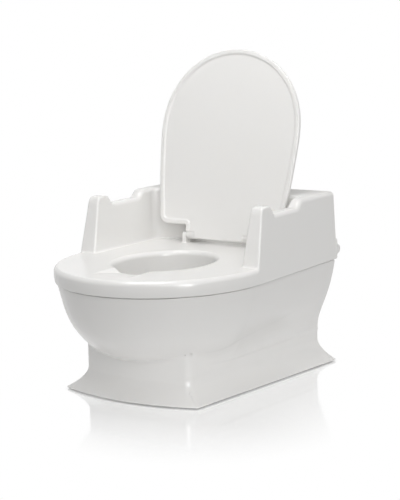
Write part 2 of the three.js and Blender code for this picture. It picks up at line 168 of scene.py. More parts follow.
def surface_net(values, grid):
    """one point per grid cell the surface passes through, and quads joining them"""
    inside = values < 0
    shape = inside.shape
    corners = list(itertools.product((0, 1), repeat=3))
    count = np.zeros([n - 1 for n in shape], np.int8)
    for corner in corners:
        count += inside[tuple(slice(o, n - 1 + o) for o, n in zip(corner, shape))]
    active = (count > 0) & (count < 8)
    cells = np.nonzero(active)
    number = -np.ones(active.shape, np.int64)
    number[cells] = np.arange(len(cells[0]))

    # each point is the mean of the crossings on the edges of its cell
    points = np.zeros((len(cells[0]), 3))
    crossings = np.zeros(len(points))
    for corner in corners:
        for along in range(3):
            if corner[along]:
                continue
            other = list(corner)
            other[along] = 1
            near = tuple(c + o for c, o in zip(cells, corner))
            far = tuple(c + o for c, o in zip(cells, other))
            value_near, value_far = values[near], values[far]
            crossed = (value_near < 0) != (value_far < 0)
            t = np.where(crossed, value_near / np.where(crossed, value_near - value_far, 1), 0)
            start = np.stack([grid[k][near[k]] for k in range(3)], 1)
            end = np.stack([grid[k][far[k]] for k in range(3)], 1)
            points += np.where(crossed[:, None], start + (end - start) * t[:, None], 0)
            crossings += crossed
    points /= crossings[:, None]

    # each crossed grid edge gives a quad between the four cells round it
    quads = []
    for along in range(3):
        lower, upper = [slice(None)] * 3, [slice(None)] * 3
        lower[along] = slice(0, -1)
        upper[along] = slice(1, None)
        low_inside = inside[tuple(lower)]
        edges = np.nonzero(low_inside != inside[tuple(upper)])
        side1, side2 = (along + 1) % 3, (along + 2) % 3
        keep = (edges[side1] > 0) & (edges[side2] > 0)
        keep &= (edges[side1] < shape[side1] - 1) & (edges[side2] < shape[side2] - 1)
        edges = [e[keep] for e in edges]
        ring = []
        for step1, step2 in ((-1, -1), (0, -1), (0, 0), (-1, 0)):
            cell = list(edges)
            cell[side1] = cell[side1] + step1
            cell[side2] = cell[side2] + step2
            ring.append(number[tuple(cell)])
        quad = np.stack(ring, 1)
        turn = ~low_inside[tuple(edges)]
        quad[turn] = quad[turn][:, ::-1]
        quads.append(quad)
    return points, np.concatenate(quads)


def gradient(field, points, probe):
    result = np.empty_like(points)
    for k in range(3):
        shift = np.zeros(3)
        shift[k] = probe
        result[:, k] = field(*(points + shift).T) - field(*(points - shift).T)
    return result / (2 * probe)


def unit_normals(field, points):
    steepest = gradient(field, points, WIDE_PROBE)
    return steepest / np.maximum(np.linalg.norm(steepest, axis=1), 1e-9)[:, None]


def settle(field, points, passes, limit):
    """move the points on to the surface, by no more than limit in a pass"""
    for _ in range(passes):
        value = field(*points.T)
        steepest = gradient(field, points, FINE_PROBE)
        square = np.maximum((steepest * steepest).sum(1), 0.05)
        move = -(value / square)[:, None] * steepest
        length = np.linalg.norm(move, axis=1)
        points = points + move * np.minimum(1, limit / np.maximum(length, 1e-9))[:, None]
    return points


def relax(field, points, quads, limit):
    """slide each vertex along the surface towards the middle of its neighbours"""
    total = len(points)
    start = np.concatenate([quads[:, k] for k in range(4)])
    end = np.concatenate([quads[:, (k + 1) % 4] for k in range(4)])
    count = np.bincount(start, minlength=total) + np.bincount(end, minlength=total)
    for _ in range(RELAX_PASSES):
        sums = np.stack([np.bincount(start, points[end, k], total)
                         + np.bincount(end, points[start, k], total) for k in range(3)], 1)
        move = sums / np.maximum(count, 1)[:, None] - points
        normal = unit_normals(field, points)
        move -= (move * normal).sum(1)[:, None] * normal
        points = settle(field, points + RELAX_SHARE * move, 1, limit)
    return points


def link_object(name, mesh):
    thing = bpy.data.objects.new(name, mesh)
    bpy.context.scene.collection.objects.link(thing)
    return thing


def to_scene(points):
    scene = points * MM
    scene[:, 1] -= Y_MID * MM
    return scene.astype(np.float32).ravel()


def mesh_field(name, field, *grid):
    """closed quad mesh of the surface field = 0, with normals taken from the field"""
    points, quads = surface_net(sample(field, grid), grid)
    limit = 0.5 * min(np.diff(lines).min() for lines in grid)
    points = settle(field, points, 3, limit)
    points = relax(field, points, quads, limit)
    points = settle(field, points, 2, limit)
    normals = unit_normals(field, points)

    mesh = bpy.data.meshes.new(name)
    mesh.vertices.add(len(points))
    mesh.vertices.foreach_set("co", to_scene(points))
    mesh.loops.add(quads.size)
    mesh.loops.foreach_set("vertex_index", quads.astype(np.int32).ravel())
    mesh.polygons.add(len(quads))
    mesh.polygons.foreach_set("loop_start", np.arange(0, quads.size, 4, dtype=np.int32))
    mesh.polygons.foreach_set("loop_total", np.full(len(quads), 4, np.int32))
    mesh.polygons.foreach_set("use_smooth", np.ones(len(quads), bool))
    mesh.update(calc_edges=True)
    mesh.validate()
    mesh.normals_split_custom_set_from_vertices(normals.astype(np.float32).tolist())
    return link_object(name, mesh)


# ---------------------------------------------------------------- shared sizes (mm)
WALL = 3.5
SEAM = 143.0                      # lower edge of the seat moulding
SEAT_TOP = 163.5
CISTERN_TOP = 236.3
COLLAR_FOOT = 130.0
RIM_HALF, RIM_FRONT = 139.5, 153.0
REAR_Y = 218.8
DRAFT = 0.061                     # draw-in of the seat's sides per mm of height
ARM_INNER_X, BACKREST_Y = 113.5, 151.0
LID_HINGE = (136.5, 173.5)        # y, z
REAR_HINGE = (222.0, 156.0)       # y, z
BARREL_RADIUS, REAR_BORE = 6.0, 2.8
LUG_X = 122.5                     # centre of the base's hinge lugs
BASE_TOP, BASE_FOOT = 142.3, 1.5
POT_Y = -6.0
FEET = {"front": (79.0, -66.0), "rear": (115.0, 190.0)}    # |x|, y

# ---------------------------------------------------------------- seat
# y, z along the top of the arms and, behind them, the cistern
TOPLINE = Curve([
    [-40, 225], [11.5, 229], [15.5, 233.2], [18, 235.8], [22, 237.2], [28, 237.7], [34, 237.5],
    [38.5, 236.5], [42, 234.2], [45.5, 229.8], [48.5, 227], [53, 225.9], [108, 225.9],
    [113, 227.5], [118, 232], [121.5, 234.9], [126, CISTERN_TOP], [260, CISTERN_TOP],
], smooth=0.8)
EAR_X, EAR_HALF = 56.0, 3.0
ARM_RAKE = 0.229                  # lean of the arm fronts, y per z
ARM_RAKE_COS = 0.9748
DIP_FLOOR = 158.0


def seat_hole(x, y, z):
    """opening of the seat: egg-shaped plan, drawn in slightly towards the collar's lower edge"""
    from_middle = y + 4.5
    egg = ellipse_dist(x, from_middle, 61.0, np.where(from_middle > 0, 82.5, 72.5))
    return egg + 0.05 * np.maximum(158.0 - z, 0.0)


def seat_dip(x, y, z):
    """shallow dip at the front of the opening, running out towards the rim"""
    floor = DIP_FLOOR + 0.165 * np.maximum(-80.0 - y, 0.0) - z
    side = np.abs(x) - (20.5 + 1.0 * (z - DIP_FLOOR))
    return meet(np.maximum(floor * 0.985, y + 40.0), side * 0.72, 1.6)


def seat_space(x, y, z):
    """free space between the arms, open in front"""
    corner = 13.0
    width = ARM_INNER_X + 0.05 * (z - SEAT_TOP)
    back = BACKREST_Y + 0.02 * (z - SEAT_TOP)
    over_x, over_y = np.abs(x) - (width - corner), y - (back - corner)
    outside = np.hypot(np.maximum(over_x, 0), np.maximum(over_y, 0))
    return np.minimum(np.maximum(over_x, over_y), 0) + outside - corner


def seat_body(x, y, z):
    """seat moulding as a solid, without hollow, bottom plane or hinges"""
    width = RIM_HALF - DRAFT * (z - SEAM)
    # the rim is drawn in a little more towards its lower edge
    width = width - 2.0 * (np.clip((157.0 - z) / 14.0, 0, 1.3) * unit((40 - y) / 60)) ** 2
    plan = plan_dist(x, y, width, width + (RIM_FRONT - RIM_HALF), width, REAR_Y)
    plan = meet(plan, y - REAR_Y, 3.6)
    slope = TOPLINE.slope(y)
    top = (z - TOPLINE(y)) / np.sqrt(1 + slope * slope)
    arm_front = (ARM_RAKE * (z - SEAT_TOP) - y) * ARM_RAKE_COS
    upper = meet(arm_front, top, 3.0)
    # edges grow softer behind the arm fronts
    soft = unit((y - 38) / 10.0)
    upper = cut(upper, seat_space(x, y, z), 3.0 + 2.6 * soft)
    body = join(z - SEAT_TOP, upper, 3.0)
    edge = 2.9 + 3.4 * unit((168 - z) / 6.0) * unit((6 - y) / 10.0)
    edge = edge + 3.0 * soft * unit((z - 212) / 8.0)
    body = meet(plan, body, edge)
    body = cut(body, seat_hole(x, y, z), 6.6)
    return cut(body, seat_dip(x, y, z), 2.6)


def add_lid_ears(shell, x, y, z):
    """two ears on the seat top that carry the lid's pins"""
    side = np.abs(x)
    stem = segment_dist(y, z, LID_HINGE, (LID_HINGE[0], SEAT_TOP - 8)) - 5.2
    ear = meet(stem, np.abs(side - EAR_X) - EAR_HALF, 1.0)
    ear = np.maximum(ear, (SEAT_TOP - 2.4) - z)
    shell = join(shell, ear, 1.6)
    bore = point_dist(y, z, LID_HINGE) - 2.2
    return np.maximum(shell, -np.maximum(bore, np.abs(side - EAR_X) - (EAR_HALF + 1.5)))


def add_rear_knuckles(shell, x, y, z):
    """slots for the lugs of the base, and the knuckles outside them"""
    side = np.abs(x)
    slot = np.maximum(np.maximum(np.abs(side - LUG_X) - 6.0, 212 - y), z - 162.6)
    shell = cut(shell, slot, 0.8)
    barrel = point_dist(y, z, REAR_HINGE) - BARREL_RADIUS
    root = (216.4, 155.5)
    knuckle = join(barrel, segment_dist(y, z, root, (215.9, 168)) - 3.2, 5.0)
    knuckle = join(knuckle, segment_dist(y, z, root, (216.6, 146)) - 2.6, 4.0)
    knuckle = meet(knuckle, np.abs(side - 133.9) - 5.4, 1.6)
    knuckle = np.maximum(knuckle, 215.6 - y)
    shell = join(shell, knuckle, 1.6)
    bore = barrel + BARREL_RADIUS - REAR_BORE
    return np.maximum(shell, -np.maximum(bore, np.abs(side - 132.5) - 5.6))


def seat_field(x, y, z):
    body = seat_body(x, y, z)
    shell = np.maximum(meet(body, SEAM - z, 1.4), -(body + WALL))
    # collar round the opening, reaching down inside the pot
    hole = seat_hole(x, y, z)
    collar = meet(np.maximum(-hole, hole - WALL), COLLAR_FOOT - z, 1.3)
    shell = np.minimum(shell, np.maximum(collar, z - 152.0))
    shell = add_lid_ears(shell, x, y, z)
    return add_rear_knuckles(shell, x, y, z)


# ---------------------------------------------------------------- base
# z, how far the bowl is drawn in from its rim: at the front, and at the rear corners
BOWL_INSET = Curve([
    [36, 117], [41, 94], [44, 77.5], [48, 64], [52, 54.6], [56, 47.1], [61.4, 40], [72.5, 28.8],
    [83.4, 20.2], [94.5, 13.9], [105, 9.4], [115.5, 6.1], [126, 3.4], [142.3, 0], [170, 0],
], smooth=2.0)
BOWL_REAR_INSET = Curve([
    [36, 116], [41, 93], [44, 74], [48, 60], [52, 50], [56, 42], [61.4, 34.5], [72.5, 23.5],
    [83.4, 15.6], [94.5, 10.3], [105, 6.8], [115.5, 4.3], [126, 2.1], [142.3, 0], [170, 0],
], smooth=2.0)
# the column flares out from FLARE_TOP down to FLARE_END
FLARE_TOP, FLARE_HEIGHT, FLARE_END = 30, 27.2, 2.8
COLUMN_REAR_Y = 211.0


def base_column(x, y, z):
    """column with slanted sides and an arched front"""
    down = unit((FLARE_TOP - z) / FLARE_HEIGHT)
    flare = down ** 2
    flare_slope = np.where((z < FLARE_TOP) & (z > FLARE_END), 2 * down / FLARE_HEIGHT, 0)
    front_x, front_y = 78.5 + 21.8 * flare, -70 - 16 * flare
    middle_y = -87.5 - 18 * flare
    run_x = 113.5 + 28.6 * flare - front_x
    run_y = COLUMN_REAR_Y - front_y
    side = (np.abs(x) - front_x) * run_y - (y - front_y) * run_x
    side = side / np.hypot(run_x, run_y) / np.sqrt(1 + (25.0 * flare_slope) ** 2)
    arc_x = np.clip(x, -front_x - 6, front_x + 6)
    arc = middle_y + (front_y - middle_y) * (arc_x / front_x) ** 2
    slope = 2 * (front_y - middle_y) * arc_x / front_x**2
    front = (arc - y) / np.sqrt(1 + slope * slope + (18.0 * flare_slope) ** 2)
    column = meet(side, front, 5.6 * (1 - flare) + 2.0 * flare)
    return np.maximum(column, z - 118)


def base_body(x, y, z):
    """base as a solid: the bowl on its column"""
    inset = BOWL_INSET(z)
    steepness = np.sqrt(1 + BOWL_INSET.slope(z) ** 2)
    bowl = plan_dist(
        x, y,
        half_width=np.maximum(134.5 - 0.92 * inset, 5),
        front_depth=np.maximum(147.5 - inset, 5),
        rear_half_width=137.2 - BOWL_REAR_INSET(z),
        rear_y=216.0,
    ) / steepness
    # crisp under the front of the bowl, a broad sweep along its sides
    fillet = 3.0 + 13.0 * unit((y + 75) / 90) ** 1.3
    body = join(bowl, base_column(x, y, z), fillet)
    rear_wall = 211 + 5.5 * unit((z - 50) / 90)
    return meet(body, y - rear_wall, 3.0)


def base_lugs(x, y, z):
    """hinge lugs on the rear wall"""
    barrel = point_dist(y, z, REAR_HINGE) - BARREL_RADIUS
    neck = segment_dist(y, z, (220.4, 152), (214.0, 128)) - 3.3
    lug = join(barrel, neck, 5.0)
    lug = meet(lug, np.abs(np.abs(x) - LUG_X) - 5.5, 0.9)
    lug = np.maximum(lug, -(barrel + BARREL_RADIUS - REAR_BORE))
    return np.maximum(lug, np.where(z > 141.8, 216.6, 211.8) - y)


def base_field(x, y, z):
    body = base_body(x, y, z)
    outer = meet(body, z - BASE_TOP, 1.2)
    outer = meet(outer, BASE_FOOT - z, 0.6)
    # hollow below a deck between z = 134 and 137, and above it
    inner = body + WALL
    below = meet(inner, z - 134.0, 3.0)
    above = np.maximum(meet(inner, 137.0 - z, 2.0), 137.0 - z)
    shell = np.maximum(np.maximum(outer, -below), -above)
    well = ellipse_dist(x, y - POT_Y, 76.8, 106.8)
    shell = cut(shell, np.maximum(well, 120 - z), 1.2)
    # corner plates for the feet, each with a hole
    side = np.abs(x)
    reach = 9
    for (foot_x, foot_y), outward in zip(FEET.values(), (-1, 1)):
        inside_y = outward * (foot_y - y) - reach
        plate = np.maximum(foot_x - reach - side, np.maximum(inside_y, BASE_FOOT - z))
        plate = np.maximum(plate, z - 5.0)
        plate = np.maximum(plate, body + 1.2)
        shell = join(shell, plate, 0.8)
        hole = point_dist(side, y, (foot_x, foot_y)) - 3.1
        shell = np.maximum(shell, -np.maximum(hole, z - 9))
    return join(shell, base_lugs(x, y, z), 1.0)


# ---------------------------------------------------------------- pot
# z, half width of the pot
POT_HALF = Curve([
    [40, 20], [52, 44.5], [55, 49.5], [62, 55], [78, 61], [100, 67.5], [124, 72.5],
    [137.4, 75], [150, 77],
], smooth=1.5)


def pot_field(x, y, z):
    from_middle = y - POT_Y
    half_x = POT_HALF(z)
    half_y = half_x + 25.5 + 4.5 * unit((z - 60) / 70)
    steepness = np.sqrt(1 + POT_HALF.slope(z) ** 2)
    side = ellipse_dist(x, from_middle, half_x, half_y) / steepness
    outer = meet(side, 52.0 - z, 6.0)
    cavity = meet(side + 2.9, 55.0 - z, 9.0)
    flange = meet(ellipse_dist(x, from_middle, 86.5, 116.5), np.abs(z - 139.0) - 1.6, 1.5)
    pot = join(outer, flange, 3.0)
    pot = np.maximum(pot, z - 140.6)
    return cut(pot, cavity, 1.4)


# ---------------------------------------------------------------- lid
# The lid is drawn in its own plane: x, t from the hinge end to the tip, and w, the
# depth behind its front edge. It leans back by LID_LEAN.
LID_LEAN = math.radians(13.0)
LEAN_COS, LEAN_SIN = math.cos(LID_LEAN), math.sin(LID_LEAN)
LID_ORIGIN = (127.4, 171.9)       # y, z of t = w = 0
LID_THICK = 6.4
LID_SHOULDER = 18.2               # t where the outline widens from the tongue
LID_CORNER = 14.0
LID_TONGUE = 52.3                 # half width of the tongue
# t, half width
LID_HALF = [
    [31, 97.5], [45, 99], [63, 101.4], [73.5, 103.5], [89, 105], [105, 106.3], [126, 108.2],
    [147, 109.5], [168, 109], [189, 104.6], [210, 95.7], [225.8, 84.4], [241.5, 69.3],
    [252, 53], [259.4, 36], [263.5, 20], [265.6, 0],
]


def to_lid(y, z):
    """(y, z) -> (t, w)"""
    dy, dz = y - LID_ORIGIN[0], z - LID_ORIGIN[1]
    return dy * LEAN_SIN + dz * LEAN_COS, dy * LEAN_COS - dz * LEAN_SIN


HINGE_T, HINGE_W = to_lid(*LID_HINGE)


def spline(points, pieces):
    """smooth curve through (x, t) points whose last lies on the mirror line x = 0"""
    pts = np.array(points, float)
    pts = np.vstack([2 * pts[0] - pts[1], pts, [[-pts[-2, 0], pts[-2, 1]]]])
    out = []
    for i in range(1, len(pts) - 2):
        for t in np.arange(pieces) / pieces:
            p0, p1, p2, p3 = pts[i - 1], pts[i], pts[i + 1], pts[i + 2]
            out.append(0.5 * ((2 * p1) + (p2 - p0) * t + (2 * p0 - 5 * p1 + 4 * p2 - p3) * t * t
                              + (3 * p1 - p0 - 3 * p2 + p3) * t**3))
    out.append(pts[-2])
    return np.array(out)


def lid_outline():
    """closed outline in (x, t)"""
    mirror = np.array([-1, 1])
    half = spline([[x, t] for t, x in LID_HALF], 8)
    # ease small bumps of the measured points
    kernel = np.array([1, 4, 6, 4, 1.0]) / 16
    for _ in range(30):
        padded = np.vstack([2 * half[0] - half[2:0:-1], half, half[-2:-4:-1] * mirror])
        eased = np.stack([np.convolve(padded[:, c], kernel, mode="valid") for c in (0, 1)], 1)
        eased[0] = half[0]
        eased[-1, 0] = 0
        half = eased
    angle = np.linspace(-np.pi / 2, 0, 10)[:-1]
    corner = np.stack([LID_HALF[0][1] - LID_CORNER + LID_CORNER * np.cos(angle),
                       LID_SHOULDER + LID_CORNER + LID_CORNER * np.sin(angle)], 1)
    tongue = [[LID_TONGUE, -0.5], [LID_TONGUE, LID_SHOULDER - 2.0],
              [LID_TONGUE + 0.7, LID_SHOULDER - 0.6], [LID_TONGUE + 2.0, LID_SHOULDER]]
    right = np.vstack([tongue, corner, half[1:]])
    return np.vstack([right, right[-2::-1] * mirror])


def polygon_dist(x, t, polygon):
    shape = x.shape
    x, t = np.ravel(x), np.ravel(t)
    square = np.full(x.shape, 1e9)
    inside = np.zeros(x.shape, bool)
    for start, end in zip(polygon, np.roll(polygon, -1, axis=0)):
        edge_x, edge_t = end[0] - start[0], end[1] - start[1]
        dx, dt = x - start[0], t - start[1]
        along = (dx * edge_x + dt * edge_t) / (edge_x * edge_x + edge_t * edge_t)
        along = np.clip(along, 0, 1)
        square = np.minimum(square, (dx - edge_x * along) ** 2 + (dt - edge_t * along) ** 2)
        spans = (start[1] <= t) != (end[1] <= t)
        if edge_t != 0:
            inside ^= spans & (dx < edge_x * (dt / edge_t))
    dist = np.sqrt(square)
    return np.where(inside, -dist, dist).reshape(shape)


class Lookup:
    """bicubic lookup of a 2-D field"""

    def __init__(self, field, x_range, y_range, step):
        self.x0, self.y0, self.step = x_range[0], y_range[0], step
        xs = np.arange(x_range[0], x_range[1] + step, step)
        ys = np.arange(y_range[0], y_range[1] + step, step)
        self.values = field(*np.meshgrid(xs, ys, indexing="ij"))

    @staticmethod
    def weights(t):
        return [0.5 * (-t + 2 * t**2 - t**3), 0.5 * (2 - 5 * t**2 + 3 * t**3),
                0.5 * (t + 4 * t**2 - 3 * t**3), 0.5 * (t**3 - t**2)]

    def __call__(self, x, y):
        u, v = (x - self.x0) / self.step, (y - self.y0) / self.step
        i = np.clip(np.floor(u).astype(int), 1, self.values.shape[0] - 3)
        j = np.clip(np.floor(v).astype(int), 1, self.values.shape[1] - 3)
        weights_u = self.weights(np.clip(u - i, 0, 1))
        weights_v = self.weights(np.clip(v - j, 0, 1))
        out = 0
        for a in range(4):
            row = 0
            for b in range(4):
                row = row + weights_v[b] * self.values[i + a - 1, j + b - 1]
            out = out + weights_u[a] * row
        return out


LID_POLYGON = lid_outline()
lid_plan = Lookup(lambda x, t: polygon_dist(x, t, LID_POLYGON), (-6, 118), (-12, 276), 0.8)


def lid_field(x, t, w):
    side = np.abs(x)
    plan = lid_plan(side, t)
    lid = meet(plan, -w, 1.5)
    lid = meet(lid, w - LID_THICK, 2.2)
    # shallow panel inside a rounded bead; it runs out at the lower edge of the tongue
    bead, panel_half = 6.4, 46.0
    inset = np.where(t < 16, np.maximum(plan + bead, side - panel_half), plan + bead)
    run_out = np.maximum(side - panel_half, np.maximum(-8.0 - t, t - 22.0))
    inset = join(inset, run_out, 2.0)
    panel = meet(inset * 0.8, w - 1.8, 1.6)
    lid = cut(lid, panel, 1.2)
    # notches at both sides of the tongue's lower edge
    lid = cut(lid, np.maximum(38.4 - side, t - 8.8), 0.8)
    # hinge knuckles in the notches
    from_axis = np.hypot(t - HINGE_T, w - HINGE_W)
    root = segment_dist(t, w, (HINGE_T + 2.4, HINGE_W - 3.2), (11.5, HINGE_W - 3.9)) - 2.5
    knuckle = join(from_axis - 4.5, np.maximum(root, 0.9 - w), 3.0)
    knuckle = meet(knuckle, np.abs(side - 45.2) - 7.2, 0.7)
    lid = join(lid, knuckle, 1.0)
    return np.maximum(lid, -np.maximum(from_axis - 2.25, np.abs(side - 46) - 8.5))


def make_lid():
    lid = mesh_field(
        "lid_moulding", lid_field,
        grid_lines(-112, 112, 1.5, [(-56, -34, 0.7), (34, 56, 0.7)]),
        grid_lines(-4, 269, 1.5, [(-4, 22, 0.7)]),
        grid_lines(-1.5, 14.5, 0.7))
    mesh = lid.data
    flat = np.empty(len(mesh.vertices) * 3, np.float32)
    mesh.vertices.foreach_get("co", flat)
    flat = flat.reshape(-1, 3).astype(float) / MM
    flat[:, 1] += Y_MID
    x, t, w = flat.T
    leaned = np.stack([x, LID_ORIGIN[0] + t * LEAN_SIN + w * LEAN_COS,
                       LID_ORIGIN[1] + t * LEAN_COS - w * LEAN_SIN], 1)
    mesh.vertices.foreach_set("co", to_scene(leaned))
    # going from (t, w) to (y, z) is a mirroring, so the faces are turned back
    mesh.flip_normals()
    mesh.update()
    return lid


# ---------------------------------------------------------------- shader node helpers
def feed(tree, target, inputs):
    """set inputs to values, or link them where the value is a socket"""
    for key, value in inputs.items():
        if isinstance(value, bpy.types.NodeSocket):
            tree.links.new(value, target.inputs[key])
        else:
            target.inputs[key].default_value = value


def node(tree, kind, inputs=None, **settings):
    made = tree.nodes.new("ShaderNode" + kind)
    for key, value in settings.items():
        setattr(made, key, value)
    feed(tree, made, inputs or {})
    return made


def calc(tree, operation, *terms, clamp=False):
    inputs = dict(enumerate(terms))
    return node(tree, "Math", inputs, operation=operation, use_clamp=clamp).outputs[0]


def map_range(tree, value, source, target, **settings):
    inputs = {"From Min": source[0], "From Max": source[1],
              "To Min": target[0], "To Max": target[1], "Value": value}
    return node(tree, "MapRange", inputs, **settings).outputs["Result"]


def noise(tree, place, scale, detail):
    inputs = {"Scale": scale, "Detail": detail, "Vector": place}
    return node(tree, "TexNoise", inputs).outputs["Fac"]


def bump(tree, height, strength, distance, **inputs):
    inputs = {"Strength": strength, "Distance": distance, "Height": height, **inputs}
    return node(tree, "Bump", inputs).outputs["Normal"]


def constant(tree, name, value):
    made = node(tree, "Value", name=name)
    made.outputs[0].default_value = value
    return made.outputs[0]


# ---------------------------------------------------------------- materials
SPECULAR = 0.5


def plastic(name, color, rough, grain=0.02, dull_top=False):
    """moulded plastic; dull_top takes the highlight off the top of the cistern"""
    material = bpy.data.materials.new(name)
    material.use_nodes = True
    tree = material.node_tree
    bsdf = tree.nodes["Principled BSDF"]
    place = node(tree, "TexCoord").outputs["Object"]
    # faint mottling of the colour
    mottle = noise(tree, place, scale=9.0, detail=3.0)
    darker = (color[0] * 0.985, color[1] * 0.985, color[2] * 0.98, 1)
    tint = node(tree, "Mix", {6: darker, 7: (*color, 1), 0: mottle}, data_type="RGBA")
    # painted shade: a little darker in concave places; painted highlight: a little lighter on
    # edges
    pointiness = node(tree, "NewGeometry").outputs["Pointiness"]
    crease_shade_and_edge_highlight = map_range(tree, pointiness, (0.44, 0.56), (0.985, 1.01))
    painted_shading = node(tree, "HueSaturation", {"Value": crease_shade_and_edge_highlight, "Color": tint.outputs[2]})
    # broad variation of polish
    polish = noise(tree, place, scale=16.0, detail=1.0)
    roughness = calc(tree, "MULTIPLY_ADD", polish, 0.03, rough - 0.015)
    # very fine grain over a faint long wave
    fine = noise(tree, place, scale=900.0, detail=2.0)
    skin = bump(tree, fine, strength=grain, distance=0.0004)
    wave = noise(tree, place, scale=22.0, detail=1.0)
    skin = bump(tree, wave, strength=0.05, distance=0.002, Normal=skin)
    feed(tree, bsdf, {
        # the base colour carries the painted shade in hollows and the painted highlight on edges
        "Base Color": painted_shading.outputs["Color"],
        "Roughness": roughness,
        "Normal": skin,
        "IOR": 1.49,
        "Specular IOR Level": SPECULAR,
        "Subsurface Weight": 0.12,
        "Subsurface Radius": (1.0, 0.95, 0.9),
        "Subsurface Scale": 0.003,
    })
    if dull_top:
        # spans in metres, in the scene's frame
        spot = node(tree, "SeparateXYZ", {0: place})
        high = map_range(tree, spot.outputs["Z"], (0.2335, 0.2358), (0.0, 1.0))
        rearward = map_range(tree, spot.outputs["Y"], (0.082, 0.090), (0.0, 1.0))
        dull = calc(tree, "MULTIPLY", high, rearward)
        shine = calc(tree, "MULTIPLY_ADD", dull, -SPECULAR, SPECULAR)
        feed(tree, bsdf, {"Specular IOR Level": shine})
    return material


def rubber(name):
    """dark, speckled rubber"""
    material = bpy.data.materials.new(name)
    material.use_nodes = True
    tree = material.node_tree
    place = node(tree, "TexCoord").outputs["Object"]
    speckle = noise(tree, place, scale=300.0, detail=5.0)
    ramp = node(tree, "ValToRGB", {"Fac": speckle})
    ramp.color_ramp.elements[0].color = (0.06, 0.063, 0.068, 1)
    ramp.color_ramp.elements[1].color = (0.11, 0.113, 0.118, 1)
    feed(tree, tree.nodes["Principled BSDF"], {
        "Base Color": ramp.outputs["Color"],
        "Normal": bump(tree, speckle, strength=0.25, distance=0.0003),
        "Roughness": 0.82,
    })
    return material


PLASTICS = {
    "seat_plastic": dict(color=(0.868, 0.860, 0.845), rough=0.235, dull_top=True),
    "base_plastic": dict(color=(0.856, 0.848, 0.833), rough=0.24),
    "lid_plastic": dict(color=(0.868, 0.860, 0.845), rough=0.30),
    "pot_plastic": dict(color=(0.845, 0.84, 0.83), rough=0.2),
    "pin_plastic": dict(color=(0.78, 0.78, 0.77), rough=0.45, grain=0.08),
}
MATERIALS = {name: plastic(name, **look) for name, look in PLASTICS.items()}
MATERIALS["foot_rubber"] = rubber("foot_rubber")


def hand_over(thing, slot, rides, replaces):
    """give a piece its material and tell the frame what it rides on and replaces"""
    thing.data.materials.append(MATERIALS[slot])
    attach(thing, rides)
    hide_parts(replaces)


# ---------------------------------------------------------------- mouldings
seat = mesh_field(
    "seat_moulding", seat_field,
    grid_lines(-142, 142, 1.75,
               [(-141, -110, 0.9), (110, 141, 0.9), (-61, -51, 0.8), (51, 61, 0.8)]),
    grid_lines(-156, 232, 1.75, [(-1, 8, 1.0), (128, 145, 0.9), (210, 231, 0.9)]),
    grid_lines(127, 241, 1.75, [(140, 182, 1.0), (222, 241, 1.2)]))
hand_over(seat, "seat_plastic", "seat", "seat_shell")

base = mesh_field(
    "base_moulding", base_field,
    grid_lines(-147, 147, 1.8, [(-130, -115, 0.9), (115, 130, 0.9)]),
    grid_lines(-150, 232, 1.8, [(210, 231, 0.9)]),
    grid_lines(-1, 165, 1.8, [(-1, 7, 0.7), (132, 163, 1.0)]))
hand_over(base, "base_plastic", "base", "base_shell")

pot = mesh_field(
    "pot_moulding", pot_field,
    grid_lines(-90, 90, 1.6),
    grid_lines(-126, 114, 1.6),
    grid_lines(49, 143, 1.5, [(134, 143, 0.7)]))
hand_over(pot, "pot_plastic", "pot", "pot")

hand_over(make_lid(), "lid_plastic", "lid", "lid")

# ---------------------------------------------------------------- turned pieces
TURN_SEGMENTS = 48


def turned(name, profile, origin, direction):
    """turned piece: profile = [(along, radius), ...], closed on the axis at both ends"""
    seg = TURN_SEGMENTS
    axis = Vector(direction)
    across = Vector((0, 1, 0)) if abs(axis.x) > 0.5 else Vector((1, 0, 0))
    third = axis.cross(across)
    points, faces = [], []
    for along, radius in profile:
        for k in range(seg):
            angle = 2 * math.pi * k / seg
            spoke = across * math.cos(angle) + third * math.sin(angle)
            points.append(Vector(origin) + axis * along + spoke * radius)
    last = (len(profile) - 1) * seg
    for ring in range(0, last, seg):
        for k in range(seg):
            near, following = ring + k, ring + (k + 1) % seg
            faces.append((near, following, following + seg, near + seg))
    first_centre = len(points)
    points += [Vector(origin) + axis * profile[end][0] for end in (0, -1)]
    faces += [(first_centre, (k + 1) % seg, k) for k in range(seg)]
    faces += [(first_centre + 1, last + k, last + (k + 1) % seg) for k in range(seg)]
    mesh = bpy.data.meshes.new(name)
    mesh.from_pydata([(p[0] * MM, (p[1] - Y_MID) * MM, p[2] * MM) for p in points], [], faces)
    mesh.validate()
    for face in mesh.polygons:
        face.use_smooth = True
    mesh.update()
    piece = link_object(name, mesh)
    split = piece.modifiers.new("edges", "EDGE_SPLIT")
    split.split_angle = math.radians(50)
    return piece


def make_pin(name, right, inner_x, length, radius, chamfer, hinge):
    """pin along x with rounded ends, on the right or the left side"""
    profile = [
        (0, radius - chamfer), (chamfer * 0.3, radius - chamfer * 0.3), (chamfer, radius),
        (length * 0.5, radius), (length - chamfer, radius),
        (length - chamfer * 0.3, radius - chamfer * 0.3), (length, radius - chamfer),
    ]
    start = inner_x if right else -(inner_x + length)
    return turned(name, profile, (start, *hinge), (1, 0, 0))


for side in ("left", "right"):
    pin = make_pin(f"lid_rod_{side}", side == "right", inner_x=40, length=19.5,
                   radius=1.9, chamfer=0.5, hinge=LID_HINGE)
    hand_over(pin, "pin_plastic", "seat", f"lid_pin_{side}")
    pin = make_pin(f"rear_rod_{side}", side == "right", inner_x=117.5, length=20.1,
                   radius=2.4, chamfer=0.6, hinge=REAR_HINGE)
    hand_over(pin, "pin_plastic", "base", f"hinge_pin_{side}")

